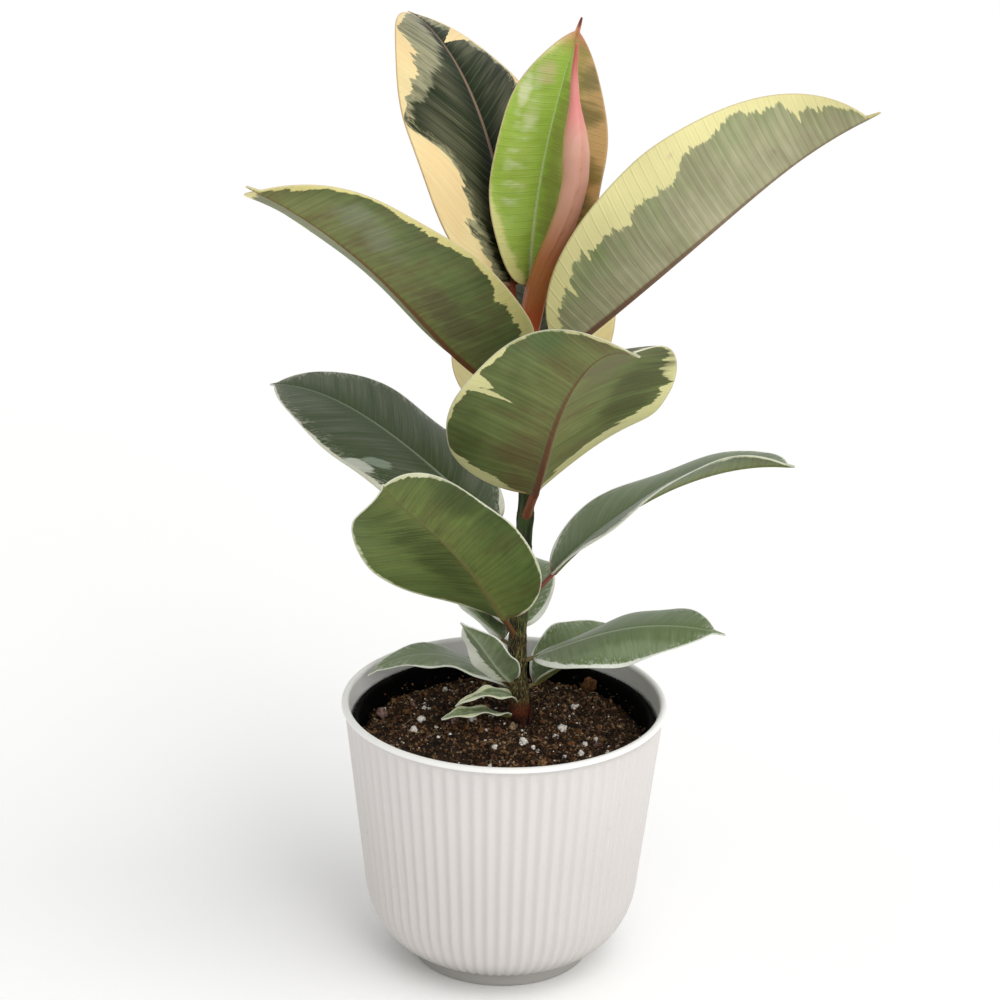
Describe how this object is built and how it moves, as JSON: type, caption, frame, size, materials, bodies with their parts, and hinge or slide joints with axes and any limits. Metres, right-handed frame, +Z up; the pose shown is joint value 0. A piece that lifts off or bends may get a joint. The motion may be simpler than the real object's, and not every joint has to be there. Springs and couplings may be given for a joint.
{
  "type": "potted variegated rubber plant",
  "caption": "Young upright houseplant with broad cream-edged leaves on one stem, in a black nursery pot inside a ribbed white cover pot.",
  "frame": {"origin": "centre of the cover pot's underside, where it stands", "axes": "+Z up along the pot's axis; the side the picture shows faces -Y"},
  "size_m": [0.2561, 0.2683, 0.42],
  "materials": {
    "white_plastic": "satin",
    "black_plastic": "satin",
    "soil": "matte",
    "bark": "matte",
    "sheath": "satin",
    "young_leaf": "satin",
    "leaf": "satin"
  },
  "bodies": {
    "root": {"cover_pot": "white_plastic", "nursery_pot": "black_plastic", "soil": "soil", "stem": "bark", "sheath": "sheath", "leaf_01": "young_leaf", "leaf_02": "leaf", "leaf_03": "leaf", "leaf_04": "leaf", "leaf_05": "leaf", "leaf_06": "leaf", "leaf_07": "leaf", "leaf_08": "leaf", "leaf_09": "leaf", "leaf_10": "leaf", "leaf_11": "leaf", "leaf_12": "leaf", "leaf_13": "leaf", "leaf_14": "leaf", "leaf_15": "leaf", "leaf_16": "leaf", "leaf_17": "leaf"}
  },
  "joints": []
}
